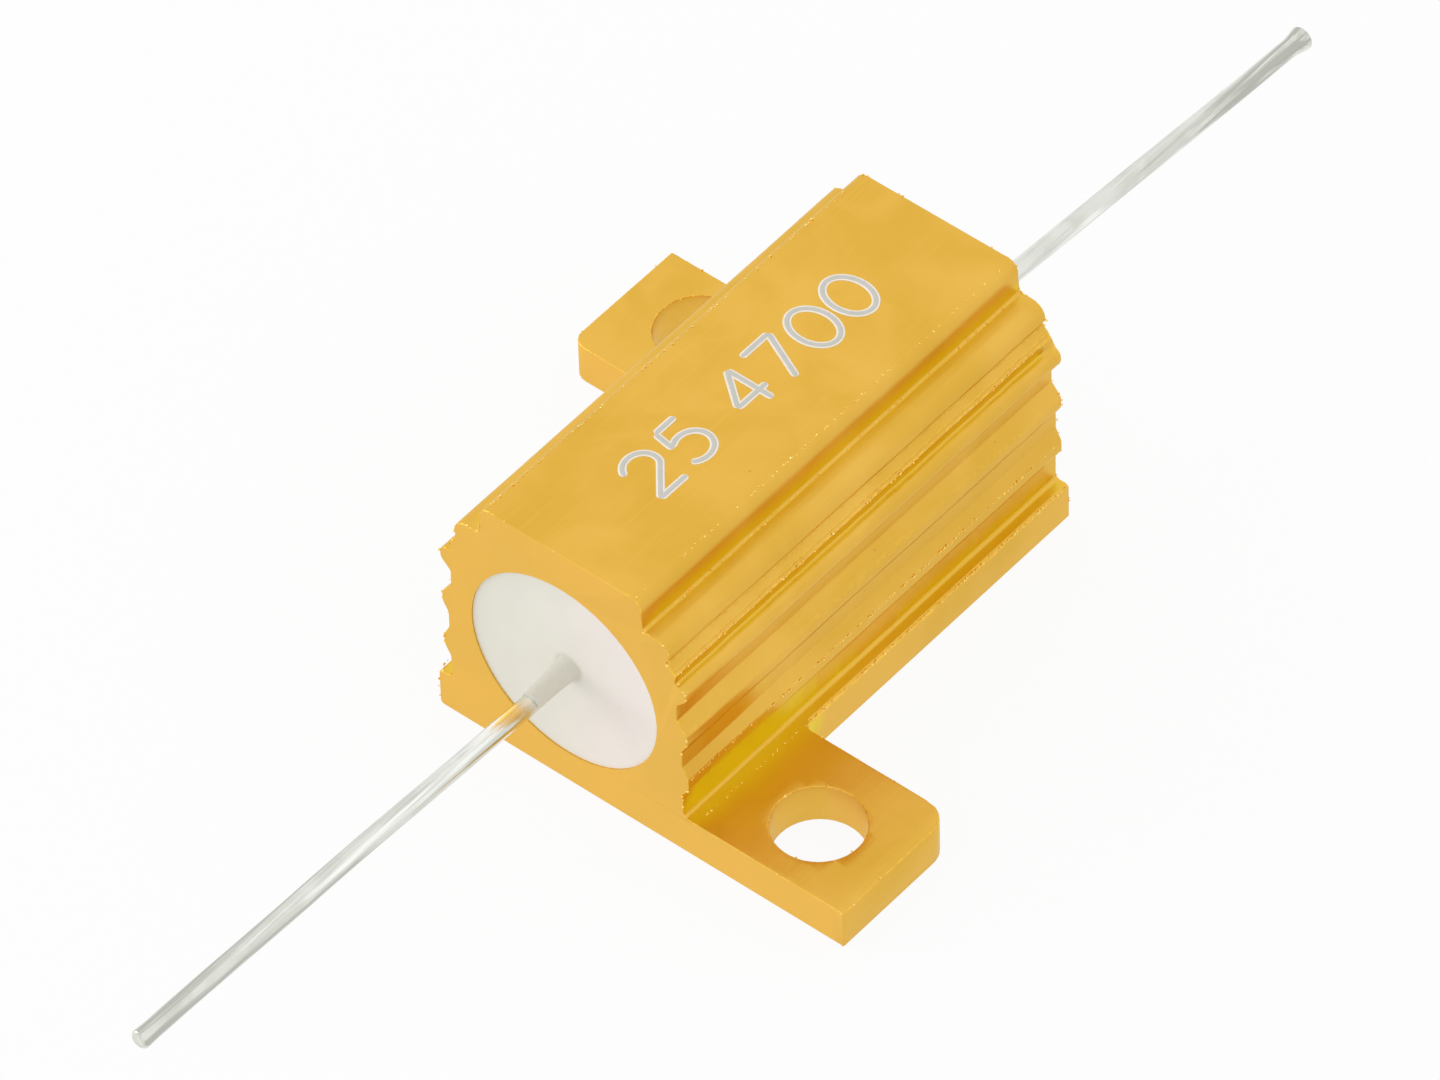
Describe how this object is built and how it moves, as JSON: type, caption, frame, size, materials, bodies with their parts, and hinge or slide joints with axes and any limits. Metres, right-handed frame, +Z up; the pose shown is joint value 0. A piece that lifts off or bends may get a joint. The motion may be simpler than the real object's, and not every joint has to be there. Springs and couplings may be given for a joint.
{
  "type": "aluminium housed power resistor",
  "caption": "Wirewound power resistor in a gold anodised finned housing with diagonal screw tabs and an axial lead at each end.",
  "frame": {"origin": "centre of the housing's mounting face, midway between its sawn ends", "axes": "+Y along the leads towards the rear end, +Z up from the mounting face, +X towards the front end's tab"},
  "size_m": [0.0164, 0.0413, 0.0077],
  "materials": {
    "gold_anodised": "gold anodised, satin, with fine lines along the extrusion",
    "white_filling": "matt off-white cast filling",
    "ceramic": "matt",
    "resistance_wire": "bare wire",
    "cap_steel": "satin",
    "tinned_wire": "bright tinned"
  },
  "bodies": {
    "root": {"housing": "gold_anodised", "potting": "white_filling", "ceramic_core": "ceramic", "resistance_winding": "resistance_wire", "front_end_cap": "cap_steel", "rear_end_cap": "cap_steel", "front_lead": "tinned_wire", "rear_lead": "tinned_wire"}
  },
  "joints": []
}
